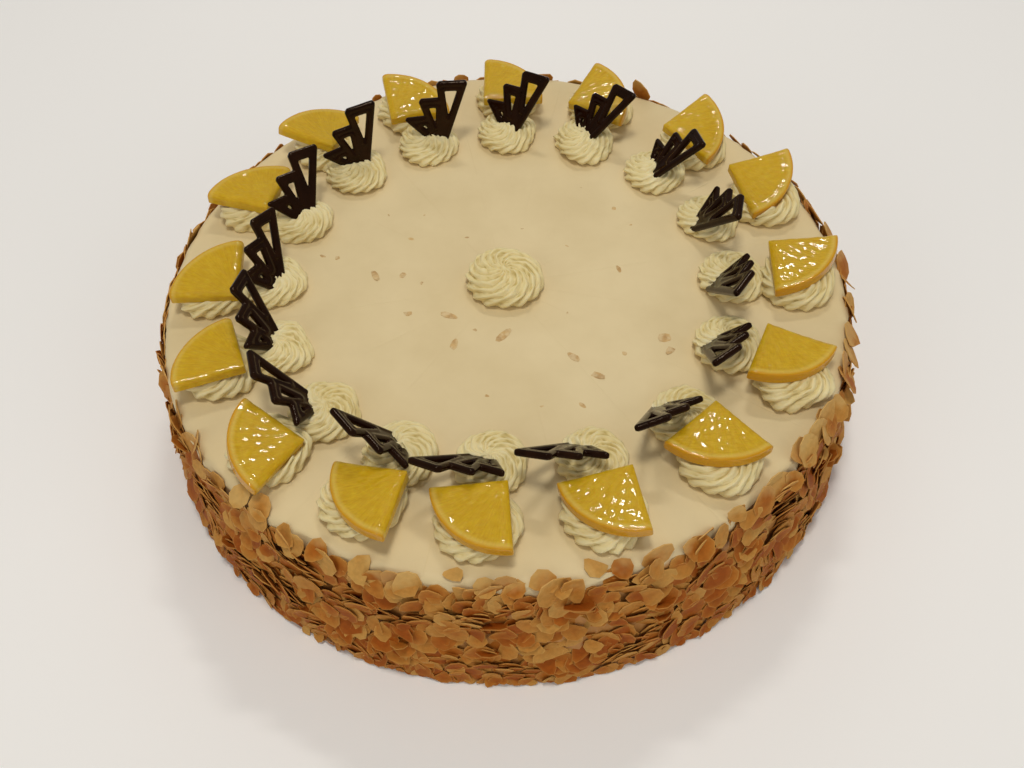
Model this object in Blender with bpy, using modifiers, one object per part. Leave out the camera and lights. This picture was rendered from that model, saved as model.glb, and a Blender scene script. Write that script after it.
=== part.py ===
"""A round lemon cream cake, marked for sixteen portions, with almond flakes on its side.

Each portion has two piped rosettes in line: the inner one holds a chocolate fan, and the
outer one is pressed down by a quarter slice of lemon. One more rosette stands in the middle.
Lengths are in metres, +Z is up, and the origin is the middle of the cake's underside.
"""

import math
import random

import bmesh
import bpy
from mathutils import Matrix, Vector

MM = 0.001
GAP = 0.3 * MM
PRESSED_GAP = 0.4 * MM

# The cake
PORTIONS = 16
FIRST_PORTION = math.radians(-20.7)
CAKE_HEIGHT = 62 * MM
TOP_RADIUS = 134 * MM
FOOT_RADIUS = 141.5 * MM
EDGE_ROUND = 3 * MM
SIDE_STEPS = 72
SIDE_ROWS = 5
SIDE_BUMP = 1.6 * MM

# Almond flakes
FLAKE_RADIUS = 6.3 * MM
FLAKE_THICKNESS = 0.9 * MM
FLAKE_CORNERS = 8
FLAKE_ROWS = 4
FLAKES_A_ROW = 25
RIM_FLAKES_A_PORTION = 2
FLAKE_STAND_OUT = 0.9 * MM
FLAKE_FLOOR_GAP = 0.4 * MM
RIM_FLAKE_HEIGHT = CAKE_HEIGHT - 2.0 * MM

# Piped rosettes: share of the radius, share of the height and depth of the groove at each level
SWIRL_LEVELS = (
    (0.00, 0.00, 0.00),
    (0.92, 0.00, 0.13),
    (1.01, 0.35, 0.15),
    (0.86, 0.75, 0.16),
    (0.42, 0.97, 0.19),
    (0.00, 1.00, 0.00),
)
SWIRL_TURN = math.radians(85)
RIDGES = 10
OUTER_RADIUS = 14.9 * MM
OUTER_HEIGHT = 10 * MM
INNER_HEIGHT = 7.8 * MM
CENTRE_RADIUS = 15.4 * MM
CENTRE_HEIGHT = 9.5 * MM
CENTRE_RIDGES = 12

# Each portion's rosettes as they were piped: the inner one's place outwards and clockwise and
# its radius, then the outer one's place outwards and clockwise, in millimetres
ROSETTES = (
    (90, 0, 14.2, 114, 1),
    (90, 0, 14.2, 114, 1),
    (90, 0, 14.2, 114, -1),
    (90, 1, 14.2, 114, 2),
    (91, 1, 14.2, 116, 1),
    (90, 0, 14.2, 115, 3),
    (91, 0, 14.2, 117, 7),
    (95, 3, 14.2, 115, 8),
    (92, 4, 13.5, 114, 9),
    (88, 4, 14.2, 113, 8),
    (91, 1, 14.2, 114, 4),
    (91, 0, 14.0, 116, 0),
    (92, 0, 13.5, 115, 0),
    (92, 0, 14.2, 115, -4),
    (92, 0, 14.2, 114, 0),
    (92, 0, 14.2, 114, 2),
)

# Lemon quarters
LEMON_RADIUS = 26.4 * MM
LEMON_THICKNESS = 4.4 * MM
LEMON_ARC_STEPS = 8
LEMON_MIDDLE = 0.6
POCKET_DEPTH = 20 * MM

# Chocolate fans: three loops that step down from right to left and share one foot
FAN_THICKNESS = 2.2 * MM
FAN_BAR = 3.1 * MM
FAN_TOP_BAR = 4.3 * MM
FAN_SHARED_BAR = 0.9 * MM
FAN_CORNER = 1.3 * MM
FAN_FOOT = (Vector((-3.0, -3.2)) * MM, Vector((0.6, -3.2)) * MM)
TALL_LEFT = Vector((1.8, 27.3)) * MM
TALL_RIGHT = Vector((15.6, 26.0)) * MM
MIDDLE_LEFT = Vector((-7.4, 20.5)) * MM
MIDDLE_RIGHT = Vector((1.5, 19.9)) * MM
SMALL_LEFT = Vector((-15.4, 12.6)) * MM
SMALL_RIGHT = Vector((-5.9, 12.4)) * MM
FAN_HEIGHT = 5 * MM

# Each fan as it was stuck in: twist, lean and roll in degrees, then its place outwards and
# clockwise in millimetres
FANS = (
    (-22, 12, 7, 87, 6),
    (-34, 29, 10, 87, 3),
    (-34, 41, 14, 88, 2),
    (-40, 41, 16, 84, 4),
    (-31, 36, 0, 82, 6),
    (-31, 37, -4, 81, 8),
    (-26, 43, -4, 84, 6),
    (-21, 41, -6, 86, 9),
    (-29, 45, -11, 86, 8),
    (-14, 49, -14, 87, 7),
    (-32, 40, 12, 87, 4),
    (-29, 42, 5, 92, 5),
    (-27, 35, -6, 91, 2),
    (-27, 30, -7, 88, -3),
    (-28, 35, -2, 88, 1),
    (-29, 12, 14, 90, 4),
)

# Each lemon quarter as it was laid down: turn, tilt outwards and tilt clockwise in degrees,
# then its place outwards, clockwise and above the cream in millimetres
LEMONS = (
    (55, 11, 0, 113, 1, 12.0),
    (45, 3, 0, 115, 1, 12.0),
    (52, 10, -1, 114, -1, 12.0),
    (47, 5, -10, 117, 2, 12.5),
    (50, 5, -12, 117, -2, 13.0),
    (47, 9, -2, 115, 0, 13.0),
    (46, -2, 2, 114, 4, 13.0),
    (48, 0, 1, 112, 7, 13.0),
    (57, 4, -5, 114, 9, 13.0),
    (41, -3, -3, 114, 8, 13.5),
    (37, 1, -5, 115, 1, 13.0),
    (31, 8, 14, 119, -1, 12.5),
    (47, -1, -5, 117, 0, 12.5),
    (42, 0, 6, 114, -4, 12.5),
    (36, 2, -3, 115, 2, 13.0),
    (20, 4, -10, 117, 3, 13.0),
)

# Colours and roughness
CREAM = (0.82, 0.74, 0.50), 0.55
ALMOND = (0.63, 0.36, 0.13), 0.60
LEMON = (0.72, 0.48, 0.05), 0.20
CHOCOLATE = (0.018, 0.009, 0.006), 0.25


def clear_scene():
    for thing in list(bpy.data.objects):
        bpy.data.objects.remove(thing)


def new_collection(name):
    collection = bpy.data.collections.new(name)
    bpy.context.scene.collection.children.link(collection)
    return collection


def new_material(name, finish):
    colour, roughness = finish
    material = bpy.data.materials.new(name)
    material.use_nodes = True
    shader = material.node_tree.nodes["Principled BSDF"]
    shader.inputs["Base Color"].default_value = (*colour, 1)
    shader.inputs["Roughness"].default_value = roughness
    shader.inputs["Metallic"].default_value = 0
    return material


def object_from_bmesh(name, shape, collection):
    mesh = bpy.data.meshes.new(name)
    shape.to_mesh(mesh)
    shape.free()
    thing = bpy.data.objects.new(name, mesh)
    collection.objects.link(thing)
    return thing


def evaluated_mesh(thing):
    graph = bpy.context.evaluated_depsgraph_get()
    return bpy.data.meshes.new_from_object(thing.evaluated_get(graph))


def apply_modifiers(thing):
    mesh = evaluated_mesh(thing)
    thing.modifiers.clear()
    thing.data = mesh


def boolean(thing, operation, other=None, collection=None, solver="EXACT"):
    """Joins or cuts, applies the result and removes what it was joined to or cut by."""
    modifier = thing.modifiers.new(operation.title(), "BOOLEAN")
    modifier.operation = operation
    modifier.solver = solver
    if collection:
        modifier.operand_type = "COLLECTION"
        modifier.collection = collection
        used = list(collection.objects)
    else:
        modifier.object = other
        used = [other]
    apply_modifiers(thing)
    for piece in used:
        bpy.data.objects.remove(piece)
    keep_main_body(thing)


def body_volume(faces):
    total = 0
    for face in faces:
        corners = [vertex.co for vertex in face.verts]
        for second, third in zip(corners[1:], corners[2:]):
            total += corners[0].dot(second.cross(third)) / 6
    return total


def keep_main_body(thing):
    """Fills hollows that a union has sealed and drops loose scraps: only the largest body stays."""
    shape = bmesh.new()
    shape.from_mesh(thing.data)
    left = set(shape.faces)
    bodies = []
    while left:
        body = set()
        edge = [left.pop()]
        while edge:
            face = edge.pop()
            body.add(face)
            for side in face.edges:
                for neighbour in side.link_faces:
                    if neighbour in left:
                        left.discard(neighbour)
                        edge.append(neighbour)
        bodies.append(body)
    bodies.sort(key=body_volume)
    for body in bodies[:-1]:
        bmesh.ops.delete(shape, geom=list(body), context="FACES")
    shape.to_mesh(thing.data)
    shape.free()


def finish(thing, material, smooth_angle=math.radians(40)):
    thing.data.materials.clear()
    thing.data.materials.append(material)
    thing.data.shade_smooth()
    thing.data.set_sharp_from_angle(angle=smooth_angle)


def directions(angle):
    """The ways outwards and clockwise at a clockwise angle from +Y."""
    outwards = Vector((math.sin(angle), math.cos(angle), 0))
    clockwise = Vector((math.cos(angle), -math.sin(angle), 0))
    return outwards, clockwise


def portion_angle(number):
    return FIRST_PORTION + (number - 1) * math.tau / PORTIONS


def frame_matrix(x_axis, y_axis, z_axis, origin):
    matrix = Matrix.Identity(4)
    for column, axis in enumerate((x_axis, y_axis, z_axis, origin)):
        for row in range(3):
            matrix[row][column] = axis[row]
    return matrix


def cake_core(collection):
    """The turned body, its side as uneven as the almonds pressed into it."""
    profile = [Vector((0, 0, CAKE_HEIGHT))]
    for step in range(3):
        angle = math.radians(90 - 45 * step)
        across = TOP_RADIUS - EDGE_ROUND + EDGE_ROUND * math.cos(angle)
        profile.append(Vector((across, 0, CAKE_HEIGHT - EDGE_ROUND + EDGE_ROUND * math.sin(angle))))
    for row in range(1, SIDE_ROWS + 1):
        share = row / SIDE_ROWS
        across = TOP_RADIUS + (FOOT_RADIUS - TOP_RADIUS) * share
        profile.append(Vector((across, 0, (CAKE_HEIGHT - EDGE_ROUND) * (1 - share))))
    profile.append(Vector((0, 0, 0)))

    outline = bmesh.new()
    points = [outline.verts.new(point) for point in profile]
    for first, second in zip(points, points[1:]):
        outline.edges.new((first, second))
    core = object_from_bmesh("cake", outline, collection)
    turned = core.modifiers.new("Turned", "SCREW")
    turned.steps = turned.render_steps = SIDE_STEPS
    turned.use_merge_vertices = True
    turned.merge_threshold = 0.01 * MM
    apply_modifiers(core)

    draw = random.Random(4)
    for vertex in core.data.vertices:
        across = math.hypot(vertex.co.x, vertex.co.y)
        if across > TOP_RADIUS - MM and vertex.co.z < CAKE_HEIGHT - EDGE_ROUND - MM:
            push = 1 + draw.uniform(-SIDE_BUMP, SIDE_BUMP) / across
            vertex.co.x *= push
            vertex.co.y *= push
    return core


def almond_flake(name, centre, normal, spin, long, short, draw, collection):
    """A thin, slightly ragged oval, lying square to its normal."""
    shape = bmesh.new()
    bmesh.ops.create_cone(
        shape,
        cap_ends=True,
        segments=FLAKE_CORNERS,
        radius1=1,
        radius2=1,
        depth=FLAKE_THICKNESS,
    )
    ragged = [draw.uniform(0.86, 1.08) for _ in range(FLAKE_CORNERS)]
    for vertex in shape.verts:
        corner = round(math.atan2(vertex.co.y, vertex.co.x) / (math.tau / FLAKE_CORNERS) - 0.5)
        vertex.co.x *= long * ragged[corner % FLAKE_CORNERS]
        vertex.co.y *= short * ragged[corner % FLAKE_CORNERS]
    turn = normal.to_track_quat("Z", "Y").to_matrix() @ Matrix.Rotation(spin, 3, "Z")
    for vertex in shape.verts:
        vertex.co = turn @ vertex.co + centre
    lowest = min(vertex.co.z for vertex in shape.verts)
    if lowest < FLAKE_FLOOR_GAP:
        bmesh.ops.translate(shape, verts=shape.verts, vec=(0, 0, FLAKE_FLOOR_GAP - lowest))
    return object_from_bmesh(name, shape, collection)


def side_radius(height):
    return FOOT_RADIUS + (TOP_RADIUS - FOOT_RADIUS) * height / CAKE_HEIGHT


def tilted_normal(angle, lift, swing):
    outwards, clockwise = directions(angle)
    return (outwards + Vector((0, 0, lift)) + clockwise * swing).normalized()


def slant(draw, least, most):
    """A tilt either way, never so small that a flake would lie clear of the cream."""
    return draw.choice((-1, 1)) * draw.uniform(least, most)


def side_flakes(collection):
    """Rows of flakes all round the side, each row shifted against the last."""
    draw = random.Random(11)
    spacing = (CAKE_HEIGHT - 2 * FLAKE_RADIUS) / (FLAKE_ROWS - 0.5)
    for row in range(FLAKE_ROWS):
        for step in range(FLAKES_A_ROW):
            turn = (step + 0.382 * row + draw.uniform(-0.22, 0.22)) / FLAKES_A_ROW
            height = FLAKE_RADIUS + spacing * row + draw.uniform(-2.4, 2.4) * MM
            lift, swing = slant(draw, 0.3, 0.65), slant(draw, 0.2, 0.55)
            outwards, _ = directions(turn * math.tau)
            centre = outwards * (side_radius(height) + FLAKE_STAND_OUT)
            centre.z = height
            almond_flake(
                f"flake_{row}_{step}",
                centre,
                tilted_normal(turn * math.tau, lift, swing),
                draw.uniform(0, math.pi),
                FLAKE_RADIUS * draw.uniform(0.9, 1.12),
                FLAKE_RADIUS * draw.uniform(0.74, 0.92),
                draw,
                collection,
            )


def rim_flakes(collection):
    """Flakes that stand up past the edge of the cream, between one outer rosette and the next."""
    draw = random.Random(23)
    for number in range(1, PORTIONS + 1):
        for step in range(RIM_FLAKES_A_PORTION):
            shift = (step + 1) / (RIM_FLAKES_A_PORTION + 1) + draw.uniform(-0.04, 0.04)
            angle = portion_angle(number + shift)
            outwards, _ = directions(angle)
            centre = outwards * (TOP_RADIUS + 1.2 * MM)
            centre.z = RIM_FLAKE_HEIGHT + draw.uniform(0, 3) * MM
            almond_flake(
                f"rim_flake_{number}_{step}",
                centre,
                tilted_normal(angle, draw.uniform(0.0, 0.55), draw.uniform(-0.4, 0.4)),
                draw.uniform(0, math.pi),
                FLAKE_RADIUS * draw.uniform(0.9, 1.1),
                FLAKE_RADIUS * draw.uniform(0.76, 0.92),
                draw,
                collection,
            )


def cake(parts, helpers, material):
    core = cake_core(parts)
    side_flakes(helpers)
    rim_flakes(helpers)
    boolean(core, "UNION", collection=helpers, solver="MANIFOLD")
    finish(core, material)


def piped_rosette(name, centre, radius, height, start, ridges, collection):
    """A star of cream, turned as it was piped: its ridges run clockwise as they go outwards."""
    shape = bmesh.new()
    levels = len(SWIRL_LEVELS) - 1
    bmesh.ops.create_uvsphere(shape, u_segments=2 * ridges, v_segments=levels, radius=1)
    for vertex in shape.verts:
        across = math.hypot(vertex.co.x, vertex.co.y)
        level = round(math.atan2(across, -vertex.co.z) / math.pi * levels)
        reach, rise, groove = SWIRL_LEVELS[level]
        angle = math.atan2(vertex.co.y, vertex.co.x)
        in_groove = round(angle * ridges / math.pi) % 2
        distance = radius * reach * (1 - groove * in_groove)
        angle += start + SWIRL_TURN * (1 - reach)
        vertex.co = Vector((distance * math.cos(angle), distance * math.sin(angle), height * rise))
        vertex.co += centre
    return object_from_bmesh(name, shape, collection)


def press_below(thing, point, normal):
    """Moves every point that lies above a plane straight down onto it."""
    for vertex in thing.data.vertices:
        offset = vertex.co - point
        top = point.z - (normal.x * offset.x + normal.y * offset.y) / normal.z - PRESSED_GAP
        vertex.co.z = min(vertex.co.z, top)


def lemon_frame(number):
    """The underside of a lemon quarter: its corner, with Y along its middle and Z up."""
    turn, tilt_out, tilt_side, outward_place, side_place, height = LEMONS[number - 1]
    outwards, clockwise = directions(portion_angle(number))
    up = Vector((0, 0, 1))
    tilt_out, tilt_side = math.radians(tilt_out), math.radians(tilt_side)
    along = outwards * math.cos(tilt_out) + up * math.sin(tilt_out)
    side = clockwise * math.cos(tilt_side) + up * math.sin(tilt_side)
    side = (side - along * side.dot(along)).normalized()
    turn = math.radians(turn)
    middle = along * math.cos(turn) + side * math.sin(turn)
    right = side * math.cos(turn) - along * math.sin(turn)
    normal = right.cross(middle)
    corner = outwards * outward_place * MM + clockwise * side_place * MM
    corner += up * (CAKE_HEIGHT + height * MM)
    corner -= middle * LEMON_MIDDLE * LEMON_RADIUS + normal * LEMON_THICKNESS
    return frame_matrix(right, middle, normal, corner)


def flat_curve(name, outlines, thickness, matrix, collection):
    """A flat shape with holes, as thick as told, with its middle in the matrix's XY plane."""
    curve = bpy.data.curves.new(name, "CURVE")
    curve.dimensions = "2D"
    curve.fill_mode = "BOTH"
    curve.extrude = thickness / 2
    for outline in outlines:
        spline = curve.splines.new("POLY")
        spline.points.add(len(outline) - 1)
        for point, place in zip(spline.points, outline):
            point.co = (place[0], place[1], 0, 1)
        spline.use_cyclic_u = True
    thing = bpy.data.objects.new(name, curve)
    thing.matrix_world = matrix
    collection.objects.link(thing)
    return thing


def solid_from_curve(thing, collection):
    """The same shape as a closed mesh, which can cut another."""
    name, matrix = thing.name, thing.matrix_world.copy()
    shape = bmesh.new()
    shape.from_mesh(evaluated_mesh(thing))
    bpy.data.objects.remove(thing)
    bmesh.ops.remove_doubles(shape, verts=shape.verts, dist=0.001 * MM)
    bmesh.ops.recalc_face_normals(shape, faces=shape.faces)
    solid = object_from_bmesh(name, shape, collection)
    solid.matrix_world = matrix
    return solid


def quarter_outline(grow=0):
    """The corner and the round side of a quarter slice, made larger by grow all round."""
    corner = -grow * math.sqrt(2)
    outline = [(0, corner)]
    for step in range(LEMON_ARC_STEPS + 1):
        angle = math.radians(-45 + 90 * step / LEMON_ARC_STEPS)
        reach = LEMON_RADIUS + 2 * grow
        outline.append((reach * math.sin(angle), corner + reach * math.cos(angle)))
    return outline


def lemon_pocket(number, helpers):
    """The dent that a lemon quarter leaves in the cream under and beside it."""
    shift = POCKET_DEPTH / 2 - GAP
    matrix = lemon_frame(number) @ Matrix.Translation((0, 0, shift))
    pocket = flat_curve("pocket", [quarter_outline(GAP)], POCKET_DEPTH, matrix, helpers)
    return solid_from_curve(pocket, helpers)


def lemon(number, parts, material):
    outline = quarter_outline()
    middle_plane = lemon_frame(number) @ Matrix.Translation((0, 0, LEMON_THICKNESS / 2))
    quarter = flat_curve(f"lemon_{number:02d}", [outline], LEMON_THICKNESS, middle_plane, parts)
    quarter.data.materials.append(material)


def inset(polygon, widths):
    """A polygon with each side moved inwards by its own width, sides taken clockwise."""
    lines = []
    for first, second, width in zip(polygon, polygon[1:] + polygon[:1], widths):
        along = (second - first).normalized()
        inwards = Vector((along.y, -along.x))
        lines.append((first + inwards * width, along))
    corners = []
    for (point, along), (next_point, next_along) in zip(lines[-1:] + lines[:-1], lines):
        across = along.x * next_along.y - along.y * next_along.x
        offset = next_point - point
        reach = (offset.x * next_along.y - offset.y * next_along.x) / across
        corners.append(point + along * reach)
    return corners


def cut_corner(before, corner, after):
    """The two points that take a corner's place."""
    first = corner + (before - corner).normalized() * FAN_CORNER
    second = corner + (after - corner).normalized() * FAN_CORNER
    return [first, second]


def fan_outlines():
    """The fan's outer outline, then its three windows."""
    left, right = FAN_FOOT
    outer = [left]
    outer += cut_corner(left, SMALL_LEFT, SMALL_RIGHT) + [SMALL_RIGHT]
    outer += cut_corner(SMALL_RIGHT, MIDDLE_LEFT, MIDDLE_RIGHT) + [MIDDLE_RIGHT]
    outer += cut_corner(MIDDLE_RIGHT, TALL_LEFT, TALL_RIGHT)
    outer += cut_corner(TALL_LEFT, TALL_RIGHT, right) + [right]
    tall = inset([right, TALL_LEFT, TALL_RIGHT], [FAN_BAR, FAN_TOP_BAR, FAN_BAR])
    shared = [FAN_BAR, FAN_TOP_BAR, FAN_SHARED_BAR]
    middle = inset([left, MIDDLE_LEFT, MIDDLE_RIGHT], shared)
    small = inset([left, SMALL_LEFT, SMALL_RIGHT], shared)
    return [outer, tall, middle, small]


def fan_frame(number):
    """The fan's middle plane: X to its tall side, Y up it, and the origin where it enters the cream."""
    twist, lean, roll, outward_place, side_place = FANS[number - 1]
    outwards, clockwise = directions(portion_angle(number))
    up = Vector((0, 0, 1))
    twist, lean, roll = math.radians(twist), math.radians(lean), math.radians(roll)
    level = clockwise * math.cos(twist) + outwards * math.sin(twist)
    back = outwards * math.cos(twist) - clockwise * math.sin(twist)
    rising = up * math.cos(lean) + back * math.sin(lean)
    right = level * math.cos(roll) + rising * math.sin(roll)
    top = rising * math.cos(roll) - level * math.sin(roll)
    origin = outwards * outward_place * MM + clockwise * side_place * MM
    origin += up * (CAKE_HEIGHT + FAN_HEIGHT)
    return frame_matrix(right, top, right.cross(top), origin)


def chocolate_fan(number, parts, material):
    name = f"chocolate_{number:02d}"
    fan = flat_curve(name, fan_outlines(), FAN_THICKNESS, fan_frame(number), parts)
    fan.data.materials.append(material)


def fan_slot(number, helpers):
    """The slot that the fan's foot leaves in the cream, with a little room all round."""
    left, right = FAN_FOOT
    wedge = inset([left, SMALL_LEFT, TALL_LEFT, TALL_RIGHT, right], [-GAP] * 5)
    slot = flat_curve("slot", [wedge], FAN_THICKNESS + 2 * GAP, fan_frame(number), helpers)
    return solid_from_curve(slot, helpers)


def portion_rosettes(number, draw, parts, helpers, material):
    """The inner and the outer rosette, one piece of cream: a ridge of each runs into the other."""
    outwards, clockwise = directions(portion_angle(number))
    floor = Vector((0, 0, CAKE_HEIGHT + GAP))
    inner_out, inner_side, inner_radius, outer_out, outer_side = ROSETTES[number - 1]
    between = outwards * (outer_out - inner_out) + clockwise * (outer_side - inner_side)
    facing = math.atan2(between.y, between.x)
    kinds = (
        ("inner", parts, inner_radius * MM, INNER_HEIGHT, inner_out, inner_side),
        ("outer", helpers, OUTER_RADIUS, OUTER_HEIGHT, outer_out, outer_side),
    )
    made = []
    for name, collection, radius, height, out, side in kinds:
        centre = floor + (outwards * out + clockwise * side) * MM
        size = radius * draw.uniform(0.97, 1.0)
        rise = height * draw.uniform(0.94, 1.05)
        start = facing + draw.uniform(-0.06, 0.06)
        made.append(piped_rosette(name, centre, size, rise, start, RIDGES, collection))
    inner, outer = made
    frame = lemon_frame(number)
    press_below(outer, frame.translation, frame.col[2].to_3d())
    boolean(inner, "UNION", outer)
    boolean(inner, "DIFFERENCE", lemon_pocket(number, helpers))
    boolean(inner, "DIFFERENCE", fan_slot(number, helpers))
    inner.name = f"cream_rosettes_{number:02d}"
    finish(inner, material)


def build():
    clear_scene()
    parts = new_collection("Lemon cream cake")
    helpers = new_collection("Helpers")
    cream = new_material("Cream", CREAM)
    almond = new_material("Almond", ALMOND)
    lemon_flesh = new_material("Lemon", LEMON)
    chocolate = new_material("Chocolate", CHOCOLATE)

    cake(parts, helpers, almond)
    middle = Vector((0, 0, CAKE_HEIGHT + GAP))
    centre_rosette = piped_rosette(
        "centre_rosette", middle, CENTRE_RADIUS, CENTRE_HEIGHT, 0, CENTRE_RIDGES, parts
    )
    finish(centre_rosette, cream)
    draw = random.Random(7)
    for number in range(1, PORTIONS + 1):
        portion_rosettes(number, draw, parts, helpers, cream)
        lemon(number, parts, lemon_flesh)
        chocolate_fan(number, parts, chocolate)
    bpy.data.collections.remove(helpers)


build()
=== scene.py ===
"""The looks of a lemon cream cake: piped rosettes, lemon quarters, chocolate fans and an almond side."""

import math
import random

import bmesh
import bpy
import numpy as np
from mathutils import Matrix, Vector
from mathutils.noise import noise as noise_value
from mathutils.noise import noise_vector, seed_set


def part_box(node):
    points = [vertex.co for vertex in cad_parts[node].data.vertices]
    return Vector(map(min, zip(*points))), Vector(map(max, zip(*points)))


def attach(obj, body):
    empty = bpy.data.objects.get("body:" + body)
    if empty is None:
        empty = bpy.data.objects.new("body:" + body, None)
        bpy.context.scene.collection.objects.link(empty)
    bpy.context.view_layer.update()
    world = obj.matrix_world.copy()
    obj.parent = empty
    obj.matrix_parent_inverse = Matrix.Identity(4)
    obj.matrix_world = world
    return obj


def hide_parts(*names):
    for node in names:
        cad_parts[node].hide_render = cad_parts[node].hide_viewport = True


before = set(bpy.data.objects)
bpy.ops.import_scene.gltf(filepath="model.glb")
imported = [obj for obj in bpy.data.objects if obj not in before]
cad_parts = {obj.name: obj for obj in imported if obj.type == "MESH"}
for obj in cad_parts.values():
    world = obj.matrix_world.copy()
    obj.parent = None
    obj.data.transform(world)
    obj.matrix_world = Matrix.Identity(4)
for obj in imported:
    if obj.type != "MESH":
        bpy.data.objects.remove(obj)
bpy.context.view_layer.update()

# The ruffled cream comes out the same each time only if its noise is given a seed
seed_set(5)

MM = 0.001

# What touching pieces keep between them
GAP = 0.3 * MM

# The cake: its portions, the height of its cream top, read from the frame, how far its top and its
# foot reach, how round its rim is, and how finely its coat is divided
PORTIONS = 16
FIRST_PORTION = math.radians(-20.7)
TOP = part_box("centre_rosette")[0].z - GAP
TOP_RADIUS = 134 * MM
FOOT_RADIUS = 140.5 * MM
RIM_ROUND = 3 * MM
COAT_CORNERS = 192
COAT_RINGS = 20
RING_STEP = 6.2 * MM
SIDE_CUTS = 11

# Piped cream at each level: share of the radius, share of the height, how far its grooves go in
# and down, and how far it is turned against the level below, in degrees
SWIRL_LEVELS = (
    (0.93, 0.00, 0.12, 0.00, 0),
    (1.01, 0.15, 0.15, 0.00, 3),
    (1.04, 0.34, 0.16, 0.02, 6),
    (1.01, 0.55, 0.14, 0.06, 11),
    (0.93, 0.73, 0.09, 0.12, 15),
    (0.79, 0.86, 0.05, 0.17, 17),
    (0.62, 0.94, 0.03, 0.18, 17),
    (0.44, 0.99, 0.01, 0.15, 15),
    (0.27, 1.01, 0.00, 0.10, 14),
    (0.12, 1.03, 0.00, 0.05, 12),
)

# Swirls: how many ridges they have, how deep a ridge's shoulders lie against its grooves, how uneven
# their outline is and how far their surface is ruffled, then the sizes of the three kinds. An inner
# one takes a share of the radius that is given for it below.
RIDGES = 14
SHOULDER = 0.36
UNEVEN = 0.036
RUFFLE = 0.42 * MM
INNER_HEIGHT = 7.8 * MM
INNER_SHARE = 0.93
OUTER_RADIUS = 14.9 * MM
OUTER_HEIGHT = 10 * MM
CENTRE_RADIUS = 15.4 * MM
CENTRE_HEIGHT = 9.5 * MM

# Each portion's rosettes: the inner one's place outwards and clockwise and its radius, then the
# outer one's place outwards and clockwise, in millimetres
ROSETTES = (
    (90, 0, 14.2, 114, 1),
    (90, 0, 14.2, 114, 1),
    (90, 0, 14.2, 114, -1),
    (90, 1, 14.2, 114, 2),
    (91, 1, 14.2, 116, 1),
    (90, 0, 14.2, 115, 3),
    (91, 0, 14.2, 117, 7),
    (95, 3, 14.2, 115, 8),
    (92, 4, 13.5, 114, 9),
    (88, 4, 14.2, 113, 8),
    (91, 1, 14.2, 114, 4),
    (91, 0, 14.0, 116, 0),
    (92, 0, 13.5, 115, 0),
    (92, 0, 14.2, 115, -4),
    (92, 0, 14.2, 114, 0),
    (92, 0, 14.2, 114, 2),
)

# Almond flakes: how many lie on the side, at its foot, lapping the rim and standing above it, then
# how many corners one has, its half length, its thickness and the lowest that it reaches. Those on
# the side lie from so many millimetres up, over so many more, a golden share of a turn apart.
FLAKES = 3180
FOOT_FLAKES = 330
RIM_FLAKES = 95
STANDING_FLAKES = 14
FLAKE_CORNERS = 9
FLAKE_REACH = 6.3 * MM
FLAKE_THICKNESS = 0.4 * MM
FLAKE_LOWEST = 0.4 * MM
SIDE_FROM = 3.0
SIDE_RISE = 53.0
GOLDEN_SHARE = 0.618034

# Flakes that catch the eye at the rim, the front ones first: their turn from the front in radians,
# place outwards and up from the rim in millimetres, how far they face up, size and toast
CHOSEN_FLAKES = (
    (0.77, 0.5, 0.5, 1.3, 0.75, 0.10),
    (0.70, -1.0, 1.0, 1.4, 0.85, 0.30),
    (0.60, 1.0, -2.0, 0.9, 0.75, 0.25),
    (0.51, 1.0, -1.5, 1.1, 0.80, 0.60),
    (0.37, 1.0, -2.0, 1.0, 1.05, 0.00),
    (0.27, 1.5, -3.5, 0.8, 0.85, 0.30),
    (0.15, -2.5, 1.2, 2.5, 0.58, 0.05),
    (0.07, 0.5, -1.0, 1.2, 0.66, 0.15),
    (0.00, 0.8, -1.5, 1.1, 0.66, 0.60),
    (-0.07, 0.2, -0.3, 1.4, 0.80, 0.30),
    (-0.12, 1.2, -2.5, 1.0, 0.66, 0.35),
    (-0.21, -3.5, 1.2, 2.5, 0.80, 0.10),
    (-0.27, 0.0, 0.0, 1.2, 0.66, 0.85),
    (2.71, 0.8, -1.8, 0.2, 0.62, 0.45),
    (3.01, 0.6, -0.5, 0.1, 0.60, 0.55),
    (3.22, 0.6, 0.5, 0.1, 0.60, 0.40),
    (3.30, 0.8, -0.4, 0.2, 0.75, 0.35),
    (3.65, 0.8, 1.4, 0.1, 0.98, 0.40),
)

# Kinds of flake: width against length, how much one end is narrower, how far it is curled in
# millimetres, and where it is broken off, as a share of its half length, or 1 where it is whole
FLAKE_KINDS = (
    (0.90, 0.06, 0.4, 1),
    (0.80, 0.20, -0.5, 1),
    (0.96, 0.03, 0.6, 0.45),
    (0.72, 0.28, 0.3, 1),
    (0.85, 0.12, -0.3, 0.15),
    (0.88, 0.10, -0.7, 1),
    (0.62, 0.34, 0.7, 1),
)

# Kinds of bit on the cream top, given in the same way
BIT_KINDS = (
    (0.42, 0.20, 0.1, 1),
    (0.62, 0.30, 0.1, 0.5),
    (0.50, 0.10, 0.1, 1),
)

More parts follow.
